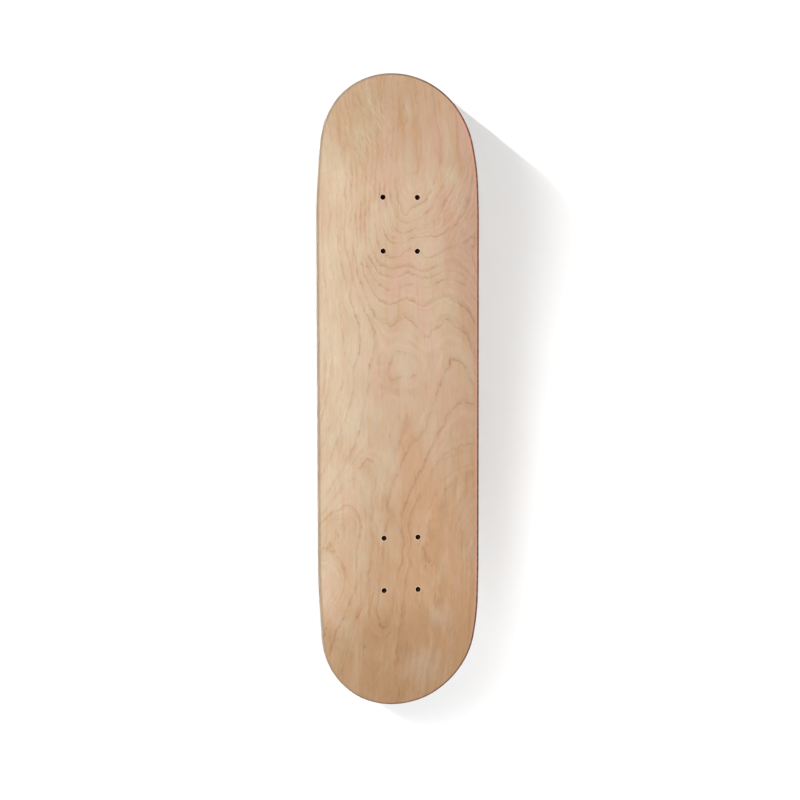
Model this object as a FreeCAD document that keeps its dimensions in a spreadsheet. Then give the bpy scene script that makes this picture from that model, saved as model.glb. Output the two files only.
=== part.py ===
import FreeCAD, Part
import math
import os
import Sketcher
from FreeCAD import Placement, Rotation, Vector

# Bare skateboard deck of seven pressed maple veneers, riding side up.
# Frame: +Z up, +X towards the nose, +Y to the rider's left when facing the nose.
# Origin: midway between the two bolt patterns, on the flat of the underside.
# Millimetres throughout.

doc = FreeCAD.newDocument("skateboard_deck")
sheet = doc.addObject("Spreadsheet::Sheet", "dims")
sheet.Label = "dims"

ROWS = [
    # plan outline
    ("deck_width", 196.85, "7.75 in between the parallel sides"),
    ("nose_reach", 387.35, "origin to nose tip, half of 30.5 in"),
    ("tail_reach", 387.35, "origin to tail tip, half of 30.5 in"),
    ("nose_side_end", 210, "origin to where the parallel side ends, nose half"),
    ("nose_flare_radius", 700, "first, slow curve after the side"),
    ("nose_corner_radius", 112, "shoulder of the nose"),
    ("nose_tip_radius", 90, "round of the nose tip"),
    ("tail_side_end", 200, "origin to where the parallel side ends, tail half"),
    ("tail_flare_radius", 1000, "first, slow curve after the side"),
    ("tail_corner_radius", 105, "shoulder of the tail"),
    ("tail_tip_radius", 88, "round of the tail tip"),
    # pressed shape
    ("veneer_thickness", 1.5, "each of the seven veneers"),
    ("kick_start", 243, "origin to where the board starts to bend up"),
    ("kick_bend_length", 46, "plan length of each bend"),
    ("nose_kick_degrees", 20.5, "slope of the nose"),
    ("tail_kick_degrees", 20.5, "slope of the tail"),
    ("flat_half_width", 29, "half of the flat strip that the truck bases sit on"),
    ("dish_ramp", 14, "width over which the dish starts to curve"),
    ("dish_rise_mid", 10.5, "how far the sides stand above the flat, mid board"),
    ("dish_rise_ends", 4, "the same at the nose and tail"),
    ("dish_fade_start", 215, "origin to where the dish starts to fade"),
    ("dish_fade_length", 125, "length over which it fades"),
    ("edge_radius", 3.2, "rounding of both edges, 1/8 in"),
    ("edge_break_degrees", 25, "the rounding stops this far short of the face"),
    # truck bolt holes
    ("wheelbase", 342.9, "13.5 in between the inner rows of holes"),
    ("bolt_row_spacing", 63.5, "2.5 in along the board"),
    ("bolt_side_spacing", 41.275, "1.625 in across the board"),
    ("bolt_hole_diameter", 5.5, "clearance for a 3/16 in bolt"),
    ("drill_depth", 60, "length of the drilling tool, through the flat"),
]
for line, (alias, value, note) in enumerate(ROWS, start=1):
    sheet.set("A%d" % line, alias)
    sheet.set("B%d" % line, str(value))
    sheet.setAlias("B%d" % line, alias)
    sheet.set("C%d" % line, note)
doc.recompute()


def dim(alias):
    return float(sheet.get(alias))


def origin_plane(body, role):
    return next(f for f in body.Origin.OriginFeatures if f.Role == role)


# ---------------------------------------------------------------------------
# Plan outline: two parallel sides, and at each end five tangent arcs
# (flare, shoulder, tip, shoulder, flare).


def end_angles(reach, side_end, flare, corner, tip):
    """Headings, from the side's direction, where the flare meets the shoulder and the shoulder meets the tip."""
    ax, ay = reach - side_end - tip, flare - dim("deck_width") / 2
    one, two, far = flare - corner, corner - tip, math.hypot(ax, ay)
    lean = math.acos((one * one + far * far - two * two) / (2 * one * far))
    first = math.atan2(ax, ay) - lean
    second = math.atan2(ax - one * math.sin(first), ay - one * math.cos(first))
    return first, second


def end_points(end):
    """Centres and joints of one end's upper arcs, drawn towards +X."""
    reach, side_end = dim(end + "_reach"), dim(end + "_side_end")
    flare, corner = dim(end + "_flare_radius"), dim(end + "_corner_radius")
    tip = dim(end + "_tip_radius")
    a, b = end_angles(reach, side_end, flare, corner, tip)
    start = Vector(side_end, dim("deck_width") / 2, 0)
    c_flare = start - Vector(0, flare, 0)
    p_one = c_flare + Vector(math.sin(a), math.cos(a), 0) * flare
    c_corner = c_flare + Vector(math.sin(a), math.cos(a), 0) * (flare - corner)
    p_two = c_corner + Vector(math.sin(b), math.cos(b), 0) * corner
    c_tip = c_corner + Vector(math.sin(b), math.cos(b), 0) * (corner - tip)
    return {
        "start": start,
        "flare": (c_flare, flare, math.pi / 2 - a, math.pi / 2),
        "corner": (c_corner, corner, math.pi / 2 - b, math.pi / 2 - a),
        "tip": (c_tip, tip, -(math.pi / 2 - b), math.pi / 2 - b),
        "joints": (p_one, p_two),
    }


outline = doc.addObject("Sketcher::SketchObject", "outline_sketch")
outline.Label = "outline_sketch"


def arc(centre, radius, start, end):
    return Part.ArcOfCircle(
        Part.Circle(centre, Vector(0, 0, 1), radius), start, end
    )


def flip(v, sx, sy):
    return Vector(v.x * sx, v.y * sy, 0)


def mirrored(piece, sx, sy):
    """The arc (centre, radius, start, end) mirrored in X and/or Y, still counter-clockwise."""
    centre, radius, t0, t1 = piece
    if sx < 0:
        t0, t1 = math.pi - t1, math.pi - t0
    if sy < 0:
        t0, t1 = -t1, -t0
    return flip(centre, sx, sy), radius, t0, t1


nose, tail = end_points("nose"), end_points("tail")
names = {}


def add(name, geometry):
    names[name] = outline.addGeometry(geometry, False)
    return names[name]


# counter-clockwise: right side (towards the nose), nose arcs, left side, tail arcs;
# each side is two segments that meet abreast of the origin
right_middle = Vector(0, -dim("deck_width") / 2, 0)
left_middle = Vector(0, dim("deck_width") / 2, 0)
add("right_side_tail", Part.LineSegment(flip(tail["start"], -1, -1), right_middle))
add("right_side_nose", Part.LineSegment(right_middle, flip(nose["start"], 1, -1)))
add("nose_flare_right", arc(*mirrored(nose["flare"], 1, -1)))
add("nose_corner_right", arc(*mirrored(nose["corner"], 1, -1)))
add("nose_tip", arc(*nose["tip"]))
add("nose_corner_left", arc(*nose["corner"]))
add("nose_flare_left", arc(*nose["flare"]))
add("left_side_nose", Part.LineSegment(nose["start"], left_middle))
add("left_side_tail", Part.LineSegment(left_middle, flip(tail["start"], -1, 1)))
add("tail_flare_left", arc(*mirrored(tail["flare"], -1, 1)))
add("tail_corner_left", arc(*mirrored(tail["corner"], -1, 1)))
add("tail_tip", arc(*mirrored(tail["tip"], -1, 1)))
add("tail_corner_right", arc(*mirrored(tail["corner"], -1, -1)))
add("tail_flare_right", arc(*mirrored(tail["flare"], -1, -1)))

loop = list(names)
for here, after in zip(loop, loop[1:] + loop[:1]):
    # every segment runs counter-clockwise, so its end (2) meets the next one's start (1)
    outline.addConstraint(
        Sketcher.Constraint("Tangent", names[here], 2, names[after], 1)
    )
outline.addConstraint(Sketcher.Constraint("Horizontal", names["right_side_nose"]))
outline.addConstraint(
    Sketcher.Constraint("PointOnObject", names["right_side_nose"], 1, -2)
)
outline.addConstraint(
    Sketcher.Constraint("PointOnObject", names["left_side_nose"], 2, -2)
)
# the outline is the same on both sides of the board's centre line
outline.addConstraint(
    Sketcher.Constraint(
        "Symmetric", names["right_side_nose"], 2, names["left_side_nose"], 1, -1
    )
)
outline.addConstraint(
    Sketcher.Constraint(
        "Symmetric", names["right_side_tail"], 1, names["left_side_tail"], 2, -1
    )
)
for end in ("nose", "tail"):
    outline.addConstraint(
        Sketcher.Constraint("PointOnObject", names[end + "_tip"], 3, -1)
    )
    for kind in ("flare", "corner"):
        outline.addConstraint(
            Sketcher.Constraint(
                "Equal",
                names["%s_%s_left" % (end, kind)],
                names["%s_%s_right" % (end, kind)],
            )
        )


def driven(constraint, name, expression):
    index = outline.addConstraint(constraint)
    outline.renameConstraint(index, name)
    outline.setExpression("Constraints." + name, expression)


driven(
    Sketcher.Constraint(
        "DistanceY",
        names["right_side_nose"],
        2,
        names["left_side_nose"],
        1,
        dim("deck_width"),
    ),
    "width",
    "dims.deck_width",
)
for end, sign in (("nose", 1), ("tail", -1)):
    tip_x = dim(end + "_reach") - dim(end + "_tip_radius")
    ordered = (
        (-1, 1, names[end + "_tip"], 3)
        if sign > 0
        else (names[end + "_tip"], 3, -1, 1)
    )
    driven(
        Sketcher.Constraint("DistanceX", *ordered, tip_x),
        end + "_tip_centre",
        "dims.%s_reach - dims.%s_tip_radius" % (end, end),
    )
    corner_of_side = (names["left_side_" + end], 1 if sign > 0 else 2)
    ordered = (
        (-1, 1) + corner_of_side if sign > 0 else corner_of_side + (-1, 1)
    )
    driven(
        Sketcher.Constraint("DistanceX", *ordered, dim(end + "_side_end")),
        end + "_side_end",
        "dims.%s_side_end" % end,
    )
    for kind in ("flare", "corner"):
        driven(
            Sketcher.Constraint(
                "Radius",
                names["%s_%s_left" % (end, kind)],
                dim("%s_%s_radius" % (end, kind)),
            ),
            "%s_%s" % (end, kind),
            "dims.%s_%s_radius" % (end, kind),
        )
    driven(
        Sketcher.Constraint(
            "Radius", names[end + "_tip"], dim(end + "_tip_radius")
        ),
        end + "_tip",
        "dims.%s_tip_radius" % end,
    )
doc.recompute()

# ---------------------------------------------------------------------------
# Bolt holes: two patterns of four, drilled square to the flat.

drill_body = doc.addObject("PartDesign::Body", "bolt_drills")
drill_body.Label = "bolt_drills"
drills = drill_body.newObject("Sketcher::SketchObject", "drill_sketch")
drills.AttachmentSupport = [(origin_plane(drill_body, "XY_Plane"), "")]
drills.MapMode = "FlatFace"
doc.recompute()
for i, (sx, row, sy) in enumerate(
    (sx, row, sy) for sx in (1, -1) for row in ("inner", "outer") for sy in (1, -1)
):
    across = "dims.bolt_side_spacing / 2"
    along = "dims.wheelbase / 2" + (
        " + dims.bolt_row_spacing" if row == "outer" else ""
    )
    x = dim("wheelbase") / 2 + (dim("bolt_row_spacing") if row == "outer" else 0)
    y = dim("bolt_side_spacing") / 2
    hole = drills.addGeometry(
        Part.Circle(
            Vector(sx * x, sy * y, 0), Vector(0, 0, 1), dim("bolt_hole_diameter") / 2
        ),
        False,
    )
    label = "%s_%s_%s" % (
        "nose" if sx > 0 else "tail",
        row,
        "left" if sy > 0 else "right",
    )
    for kind, sign, size, text in (("X", sx, x, along), ("Y", sy, y, across)):
        ends = (-1, 1, hole, 3) if sign > 0 else (hole, 3, -1, 1)
        index = drills.addConstraint(Sketcher.Constraint("Distance" + kind, *ends, size))
        drills.renameConstraint(index, label + "_" + kind)
        drills.setExpression("Constraints." + label + "_" + kind, text)
    index = drills.addConstraint(
        Sketcher.Constraint("Diameter", hole, dim("bolt_hole_diameter"))
    )
    drills.renameConstraint(index, label + "_bore")
    drills.setExpression("Constraints." + label + "_bore", "dims.bolt_hole_diameter")
doc.recompute()
drill_pad = drill_body.newObject("PartDesign::Pad", "drill_pad")
drill_pad.Profile = drills
drill_pad.Midplane = True
drill_pad.setExpression("Length", "dims.drill_depth")
doc.recompute()

# ---------------------------------------------------------------------------
# Press shape: a flat middle strip, sides that curve up into a dish, and a nose
# and tail bent up. Each glue joint is one surface, offset along its normal from
# the underside, so the seven veneers keep their thickness round the bends.

RAMP = 0.3  # share of a bend over which its curvature builds up, and dies away


def bend(u):
    """(slope, height) of a bend at u, 0 to 1 along it: slope goes from 0 to 1."""
    k = 1 / (1 - RAMP)
    if u <= 0:
        return 0.0, 0.0
    if u < RAMP:
        return k * u * u / (2 * RAMP), k * u**3 / (6 * RAMP)
    if u < 1 - RAMP:
        return k * (u - RAMP / 2), k * (u * u / 2 - RAMP * u / 2 + RAMP * RAMP / 6)
    if u < 1:
        v = 1 - u
        return 1 - k * v * v / (2 * RAMP), 0.5 - v + k * v**3 / (6 * RAMP)
    return 1.0, u - 0.5


def dish(t, ramp):
    """(slope, height) across the dish, t from the edge of the flat strip."""
    if t <= 0:
        return 0.0, 0.0
    if t < ramp:
        return t * t / (2 * ramp), t**3 / (6 * ramp)
    return t - ramp / 2, t * t / 2 - ramp * t / 2 + ramp * ramp / 6


def press(x, y):
    """Height and the two slopes of the underside at (x, y)."""
    end = "nose" if x >= 0 else "tail"
    sx, sy = (1 if x >= 0 else -1), (1 if y >= 0 else -1)
    length = dim("kick_bend_length")
    rise = math.tan(math.radians(dim(end + "_kick_degrees")))
    s, z = bend((abs(x) - dim("kick_start")) / length)
    z, zx = z * length * rise, s * rise * sx
    flat, ramp = dim("flat_half_width"), dim("dish_ramp")
    full = dish(dim("deck_width") / 2 - flat, ramp)[1]
    ds, dz = dish(abs(y) - flat, ramp)
    q = (abs(x) - dim("dish_fade_start")) / dim("dish_fade_length")
    q = min(max(q, 0.0), 1.0)
    step, dstep = q**3 * (10 - 15 * q + 6 * q * q), 30 * q * q * (1 - q) ** 2
    mid, ends = dim("dish_rise_mid"), dim("dish_rise_ends")
    depth = mid + (ends - mid) * step
    z += depth * dz / full
    zx += (ends - mid) * dstep / dim("dish_fade_length") * sx * dz / full
    return z, zx, depth * ds / full * sy


def offset_point(x, y, d):
    z, zx, zy = press(x, y)
    n = Vector(-zx, -zy, 1).normalize()
    return Vector(x, y, z) + n * d


def steps(stops):
    """0 to the last stop, with the given step up to each stop."""
    out = [0.0]
    for stop, step in stops:
        count = max(1, round((stop - out[-1]) / step))
        start = out[-1]
        out += [start + (stop - start) * (i + 1) / count for i in range(count)]
    return out


half_x = steps(
    [(210, 30), (237, 9), (301, 5.34), (340, 9.75), (410, 17.5)]
)  # close together through the bends
half_y = steps([(24, 12), (52, 5.6), (118, 11)])
xs = [-v for v in reversed(half_x[1:])] + half_x
ys = [-v for v in reversed(half_y[1:])] + half_y


def through(points, us, vs, closed=False):
    """The B-spline surface through points[i][j], with parameters us[i], vs[j]; closed repeats in u."""
    columns = []
    for j in range(len(vs)):
        curve = Part.BSplineCurve()
        curve.interpolate(
            Points=[row[j] for row in points], Parameters=us, PeriodicFlag=closed
        )
        columns.append(curve)
    poles = []
    for k in range(columns[0].NbPoles):
        across = Part.BSplineCurve()
        across.interpolate(
            Points=[c.getPole(k + 1) for c in columns], Parameters=vs
        )
        poles.append(across.getPoles())
    surface = Part.BSplineSurface()
    surface.buildFromPolesMultsKnots(
        poles,
        columns[0].getMultiplicities(),
        across.getMultiplicities(),
        columns[0].getKnots(),
        across.getKnots(),
        closed,
        False,
        columns[0].Degree,
        across.Degree,
    )
    return surface


def joint_surface(d):
    return through([[offset_point(x, y, d) for y in ys] for x in xs], xs, ys)


def slab(low, high):
    """The solid between two glue-joint surfaces, larger than the outline."""
    faces = [low.toShape(), high.toShape()]
    u0, u1, v0, v1 = low.bounds()
    a0, a1, b0, b1 = high.bounds()
    for one, two in (
        (low.uIso(u0), high.uIso(a0)),
        (low.uIso(u1), high.uIso(a1)),
        (low.vIso(v0), high.vIso(b0)),
        (low.vIso(v1), high.vIso(b1)),
    ):
        faces.append(Part.makeRuledSurface(one.toShape(), two.toShape()))
    shell = Part.makeShell(faces)
    shell.sewShape()
    solid = Part.makeSolid(shell)
    if solid.Volume < 0:
        solid.reverse()
    return solid


PLIES = [  # from the underside up
    "bottom_face_veneer",
    "lower_core_veneer",
    "lower_crossband",
    "centre_core_veneer",
    "upper_crossband",
    "upper_core_veneer",
    "top_face_veneer",
]
thick = dim("veneer_thickness")
stack = len(PLIES) * thick
joints = [joint_surface(i * thick) for i in range(len(PLIES) + 1)]

# ---------------------------------------------------------------------------
# Sawn and rounded edge: plumb in the middle of the stack, as a saw leaves it,
# and rounded towards both faces by a router that follows them.


def inset(d):
    """How far the edge stands in from the plan outline, at depth d above the underside."""
    radius, limit = dim("edge_radius"), math.radians(dim("edge_break_degrees"))
    reach = radius * math.cos(limit)
    most = 0.0
    for t in (d, stack - d):
        if t < 0:  # beyond the face the surface runs on straight
            most = max(most, radius * (1 - math.sin(limit)) - t / math.tan(limit))
        elif t < reach:
            most = max(most, radius - math.sqrt(radius**2 - (reach - t) ** 2))
    return most


def plumb_point(px, py, d):
    """The point of the surface at depth d that is plumb above plan point (px, py)."""
    x, y = px, py
    for _ in range(40):
        found = offset_point(x, y, d)
        off_x, off_y = px - found.x, py - found.y
        x, y = x + off_x, y + off_y
        if abs(off_x) + abs(off_y) < 1e-7:
            break
    return Vector(px, py, found.z)


def stations(step, longest):
    """(x, y, outward normal x, y) round the solved outline, counter-clockwise from abreast of the
    origin on the right side, the distance to each, and the distances where one face of the edge
    ends and the next starts. The last distance is the whole way round."""
    points, along, marks = [], [], []
    start, gone = loop.index("right_side_nose"), 0.0
    for name in loop[start:] + loop[:start]:
        edge = outline.Geometry[names[name]].toShape()
        count = max(2, math.ceil(edge.Length / step))
        pieces = math.ceil(edge.Length / longest)
        marks += [gone + edge.Length * k / pieces for k in range(pieces)]
        for j in range(count):
            here = edge.Length * j / count
            u = edge.getParameterByLength(here)
            point, heading = edge.valueAt(u), edge.tangentAt(u)
            points.append((point.x, point.y, heading.y, -heading.x))
            along.append(gone + here)
        gone += edge.Length
    return points, along + [gone], marks + [gone]


rim, rim_along, rim_marks = stations(5.0, 150.0)


def edge_wall(low, high, count):
    """The edge from depth low to depth high, as a shell of faces round the board."""
    depths = [low + (high - low) * j / count for j in range(count + 1)]
    rows = [
        [
            plumb_point(px - inset(d) * nx, py - inset(d) * ny, d)
            for d in depths
        ]
        for px, py, nx, ny in rim
    ]
    surface = through(rows, rim_along, depths, closed=True)
    shell = Part.makeShell(
        [surface.toShape(a, b, low, high) for a, b in zip(rim_marks, rim_marks[1:])]
    )
    shell.sewShape()
    return shell


def trimmed_sheet(i):
    """Veneer i as pressed, sawn and rounded, before the bolt holes are drilled."""
    wall = edge_wall(i * thick - 0.25, (i + 1) * thick + 0.25, 6)
    pieces = slab(joints[i], joints[i + 1]).generalFuse([wall])[0].Solids
    if len(pieces) != 2:
        raise RuntimeError("veneer %d wasn't cut out of its sheet" % i)
    return min(pieces, key=lambda piece: piece.BoundBox.XMax)


veneers = []
for i, name in enumerate(PLIES):
    sheet_part = doc.addObject("Part::Feature", name + "_sheet")
    sheet_part.Label = name + "_sheet"
    sheet_part.Shape = trimmed_sheet(i)
    sheet_part.Placement = Placement(Vector(0, 0, 0), Rotation())
    ply = doc.addObject("Part::Cut", name)
    ply.Label = name
    ply.Base = sheet_part
    ply.Tool = drill_body
    ply.Refine = False
    ply.Placement = Placement(Vector(0, 0, 0), Rotation())
    veneers.append(ply)
doc.recompute()

# ---------------------------------------------------------------------------
for obj in doc.Objects:
    if "Invalid" in obj.State or "Error" in obj.State:
        raise RuntimeError("%s is %s" % (obj.Name, obj.State))
if not outline.FullyConstrained or not drills.FullyConstrained:
    raise RuntimeError("a sketch is not fully constrained")
total = 0.0
for ply in veneers:
    shape = ply.Shape
    if shape.isNull() or not shape.isValid() or len(shape.Solids) != 1:
        raise RuntimeError(
            "%s: null %s, valid %s, solids %d"
            % (ply.Label, shape.isNull(), shape.isValid(), len(shape.Solids))
        )
    bores = [f for f in shape.Faces if f.Surface.TypeId == "Part::GeomCylinder"]
    if len(bores) != 8:
        raise RuntimeError("%s has %d bores, not 8" % (ply.Label, len(bores)))
    total += shape.Volume
    box = shape.BoundBox
    print(
        "%-20s %10.1f mm3, Z %.2f to %.2f" % (ply.Label, shape.Volume, box.ZMin, box.ZMax)
    )
print("veneers together %.1f mm3" % total)

os.makedirs("parts", exist_ok=True)
for ply in veneers:
    ply.Shape.exportStep("parts/%s.step" % ply.Label)
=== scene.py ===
"""Looks of a bare seven-veneer maple skateboard deck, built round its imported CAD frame.

Metres throughout, in the row frame: +Z up (riding side), +X to the nose, origin on the
flat of the underside, midway between the two bolt patterns.
"""

import math

import bpy
import numpy as np
from mathutils import Matrix, Vector
from mathutils.geometry import delaunay_2d_cdt


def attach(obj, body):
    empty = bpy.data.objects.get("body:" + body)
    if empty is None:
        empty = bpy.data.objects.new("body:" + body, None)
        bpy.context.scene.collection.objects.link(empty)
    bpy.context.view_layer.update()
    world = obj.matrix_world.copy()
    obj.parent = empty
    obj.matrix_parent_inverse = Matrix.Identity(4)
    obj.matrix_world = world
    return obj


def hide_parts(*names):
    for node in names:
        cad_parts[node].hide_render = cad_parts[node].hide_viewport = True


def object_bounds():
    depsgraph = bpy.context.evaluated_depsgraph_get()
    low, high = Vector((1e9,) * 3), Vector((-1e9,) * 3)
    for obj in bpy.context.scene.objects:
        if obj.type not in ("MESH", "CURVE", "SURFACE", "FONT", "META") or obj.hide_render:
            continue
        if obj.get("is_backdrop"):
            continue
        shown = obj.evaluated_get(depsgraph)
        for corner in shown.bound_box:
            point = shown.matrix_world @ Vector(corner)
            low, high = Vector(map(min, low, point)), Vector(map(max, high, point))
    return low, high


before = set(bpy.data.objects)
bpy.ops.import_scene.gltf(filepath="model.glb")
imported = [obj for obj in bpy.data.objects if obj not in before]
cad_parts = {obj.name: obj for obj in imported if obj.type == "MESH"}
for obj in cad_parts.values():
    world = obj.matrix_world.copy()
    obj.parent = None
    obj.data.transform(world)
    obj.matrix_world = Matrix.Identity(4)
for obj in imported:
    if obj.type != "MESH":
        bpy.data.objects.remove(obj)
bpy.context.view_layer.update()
scene = bpy.context.scene
MM = 0.001

# ---------------------------------------------------------------------------
# The deck's sizes, as the CAD model has them (millimetres here, metres below)

WIDTH = 196.85
REACH = 387.35
ENDS = {  # side end, flare radius, shoulder radius, tip radius
    1: (210.0, 700.0, 112.0, 90.0),
    -1: (200.0, 1000.0, 105.0, 88.0),
}
PLY = 1.5
STACK = 7 * PLY
KICK_START, KICK_LENGTH, KICK_SLOPE = 243.0, 46.0, math.tan(math.radians(20.5))
FLAT_HALF, DISH_RAMP = 29.0, 14.0
DISH_MID, DISH_ENDS, FADE_START, FADE_LENGTH = 10.5, 4.0, 215.0, 125.0
ROUND = 3.2
HOLES = [
    (sx * x, sy * 20.6375)
    for sx in (1, -1)
    for x in (171.45, 234.95)
    for sy in (1, -1)
]
BORE = 2.75
BREAK = 0.4  # rounding of each hole's rim
RAMP = 0.3


def bend(u):
    """Slope and height of a bend, u from 0 to 1 along it."""
    k, v = 1 / (1 - RAMP), 1 - u
    where = [u <= 0, u < RAMP, u < 1 - RAMP, u < 1]
    slope = np.select(
        where,
        [0 * u, k * u * u / (2 * RAMP), k * (u - RAMP / 2), 1 - k * v * v / (2 * RAMP)],
        1.0,
    )
    height = np.select(
        where,
        [
            0 * u,
            k * u**3 / (6 * RAMP),
            k * (u * u / 2 - RAMP * u / 2 + RAMP * RAMP / 6),
            0.5 - v + k * v**3 / (6 * RAMP),
        ],
        u - 0.5,
    )
    return slope, height


def dish(t):
    """Slope and height across the dish, t from the edge of the flat strip."""
    slope = np.where(t < DISH_RAMP, t * t / (2 * DISH_RAMP), t - DISH_RAMP / 2)
    height = np.where(
        t < DISH_RAMP,
        t**3 / (6 * DISH_RAMP),
        t * t / 2 - DISH_RAMP * t / 2 + DISH_RAMP**2 / 6,
    )
    return np.where(t > 0, slope, 0.0), np.where(t > 0, height, 0.0)


def press(x, y):
    """Height and slopes of the underside at (x, y), in millimetres."""
    sx, sy = np.where(x >= 0, 1.0, -1.0), np.where(y >= 0, 1.0, -1.0)
    s, h = bend((abs(x) - KICK_START) / KICK_LENGTH)
    z, zx = h * KICK_LENGTH * KICK_SLOPE, s * KICK_SLOPE * sx
    full = float(dish(np.array(WIDTH / 2 - FLAT_HALF))[1])
    ds, dz = dish(abs(y) - FLAT_HALF)
    q = np.clip((abs(x) - FADE_START) / FADE_LENGTH, 0, 1)
    step, dstep = q**3 * (10 - 15 * q + 6 * q * q), 30 * q * q * (1 - q) ** 2
    depth = DISH_MID + (DISH_ENDS - DISH_MID) * step
    z = z + depth * dz / full
    zx = zx + (DISH_ENDS - DISH_MID) * dstep / FADE_LENGTH * sx * dz / full
    return z, zx, depth * ds / full * sy


def plumb(px, py, d):
    """Points and unit normals of the surface at depth d, plumb over plan points (px, py)."""
    px, py, d = np.broadcast_arrays(px, py, d)
    x, y = px.copy(), py.copy()
    for _ in range(14):
        z, zx, zy = press(x, y)
        size = np.sqrt(1 + zx * zx + zy * zy)
        x, y = x + px - (x - zx / size * d), y + py - (y - zy / size * d)
    z, zx, zy = press(x, y)
    size = np.sqrt(1 + zx * zx + zy * zy)
    normal = np.stack([-zx / size, -zy / size, 1 / size], -1)
    return np.stack([px, py, z + d / size], -1), normal


def outline(step):
    """Stations round the plan outline, counter-clockwise from abreast of the origin:
    x, y, outward normal x, y, and the distance gone, in millimetres."""

    def quarter(end):
        side, flare, corner, tip = ENDS[end]
        ax, ay = REACH - side - tip, flare - WIDTH / 2
        one, two, far = flare - corner, corner - tip, math.hypot(ax, ay)
        a = math.atan2(ax, ay) - math.acos(
            (one * one + far * far - two * two) / (2 * one * far)
        )
        b = math.atan2(ax - one * math.sin(a), ay - one * math.cos(a))
        c0 = np.array([side, WIDTH / 2 - flare])
        c1 = c0 + one * np.array([math.sin(a), math.cos(a)])
        parts = [(c0, flare, 0.0, a), (c1, corner, a, b)]
        parts.append((np.array([REACH - tip, 0.0]), tip, b, math.pi / 2))
        count = max(2, round(side / step))
        rows = [(side * i / count, WIDTH / 2, 0.0, 1.0) for i in range(count)]
        for c, r, h0, h1 in parts:
            count = max(2, round(r * (h1 - h0) / step))
            for i in range(count):
                h = h0 + (h1 - h0) * i / count
                n = np.array([math.sin(h), math.cos(h)])
                p = c + r * n
                rows.append((p[0], p[1], n[0], n[1]))
        rows.append((REACH, 0.0, 1.0, 0.0))
        return np.array(rows)

    nose, tail = quarter(1), quarter(-1)
    flip_y, flip_x = np.array([1, -1, 1, -1.0]), np.array([-1, 1, -1, 1.0])
    loop = np.concatenate(
        [
            (nose * flip_y)[:-1],
            nose[::-1][:-1],
            (tail * flip_x)[:-1],
            (tail * flip_x * flip_y)[::-1][:-1],
        ]
    )
    gone = np.concatenate(
        [[0.0], np.cumsum(np.hypot(*np.diff(loop[:, :2], axis=0).T))]
    )
    return loop, gone


RIM, RIM_GONE = outline(2.0)
RIM_LENGTH = RIM_GONE[-1] + float(np.hypot(*(RIM[0, :2] - RIM[-1, :2])))
# there and back again, so that the grain along the edge meets itself without a seam
RIM_ALONG = np.minimum(RIM_GONE, RIM_LENGTH - RIM_GONE)


def to_rim(x, y):
    """Distance in from the plan outline, for points inside it."""
    out = np.full(len(x), 1e9)
    for i in range(0, len(RIM), 64):
        r = RIM[i : i + 64]
        away = (r[:, 0] - x[:, None]) * r[:, 2] + (r[:, 1] - y[:, None]) * r[:, 3]
        out = np.minimum(out, away.min(1))
    return out


def to_hole(x, y):
    """Distance to the nearest bolt hole's centre line."""
    return np.min([np.hypot(x - hx, y - hy) for hx, hy in HOLES], 0)


def inset(d):
    """How far the edge stands in from the plan outline at depth d: both edges are rounded."""
    t = np.minimum(d, STACK - d)
    return np.where(t < ROUND, ROUND - np.sqrt(ROUND**2 - np.clip(ROUND - t, 0, ROUND) ** 2), 0.0)


def edge_rows(low, high):
    """Depths of the edge's rows from low to high, close together round the edges."""
    turned = [ROUND * (1 - math.cos(math.radians(a))) for a in range(7, 90, 7)]
    flat = [ROUND + (STACK - 2 * ROUND) * k / 6 for k in range(7)]
    stops = sorted(turned + flat + [STACK - t for t in turned])
    inner = [t for t in stops if low + 0.05 < t < high - 0.05]
    return [low] + inner + [high]


SEGMENTS = 48


def ring_points(radius, segments=SEGMENTS):
    turn = np.arange(segments) * 2 * math.pi / segments
    return np.stack([np.cos(turn), np.sin(turn)], -1) * radius


def sheet_plan(rim_insets, hole_radii, step):
    """Plan points and triangles of one face of a veneer. The first points are the rim's
    rings and then each hole's rings, outermost of each kind first in the lists given."""
    points, edges, sizes = [], [], []
    n = len(RIM)
    for inward in rim_insets:
        base = sum(sizes)
        points.append(RIM[:, :2] - RIM[:, 2:] * inward)
        edges += [(base + i, base + (i + 1) % n) for i in range(n)]
        sizes.append(n)
    for hx, hy in HOLES:
        for radius in hole_radii:
            base = sum(sizes)
            points.append(ring_points(radius) + (hx, hy))
            edges += [(base + i, base + (i + 1) % SEGMENTS) for i in range(SEGMENTS)]
            sizes.append(SEGMENTS)
    nx, ny = int(REACH / step) + 1, int(WIDTH / 2 / step) + 1
    gx, gy = np.meshgrid(np.arange(-nx, nx + 1) * step, np.arange(-ny, ny + 1) * step)
    gx, gy = gx.ravel(), gy.ravel()
    keep = (to_rim(gx, gy) > max(rim_insets) + 0.6 * min(step, 3.0)) & (
        to_hole(gx, gy) > max(hole_radii) + 0.5 * min(step, 3.0)
    )
    points.append(np.stack([gx[keep], gy[keep]], -1))
    plan = np.concatenate(points)
    verts, _, faces, source, _, _ = delaunay_2d_cdt(
        [Vector(p) for p in plan.tolist()], edges, [], 0, 1e-7
    )
    if len(verts) != len(plan):
        raise RuntimeError("the veneer's plan was cut into unexpected pieces")
    origin = np.array([s[0] for s in source])
    triangles = origin[np.array([list(f) for f in faces])]
    middle = plan[triangles].mean(1)
    triangles = triangles[to_hole(middle[:, 0], middle[:, 1]) > min(hole_radii)]
    a, b, c = plan[triangles[:, 0]], plan[triangles[:, 1]], plan[triangles[:, 2]]
    ab, ac = b - a, c - a
    area = ab[:, 0] * ac[:, 1] - ab[:, 1] * ac[:, 0]
    triangles[area < 0] = triangles[area < 0][:, ::-1]
    return plan, triangles[abs(area) > 1e-6]


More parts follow.
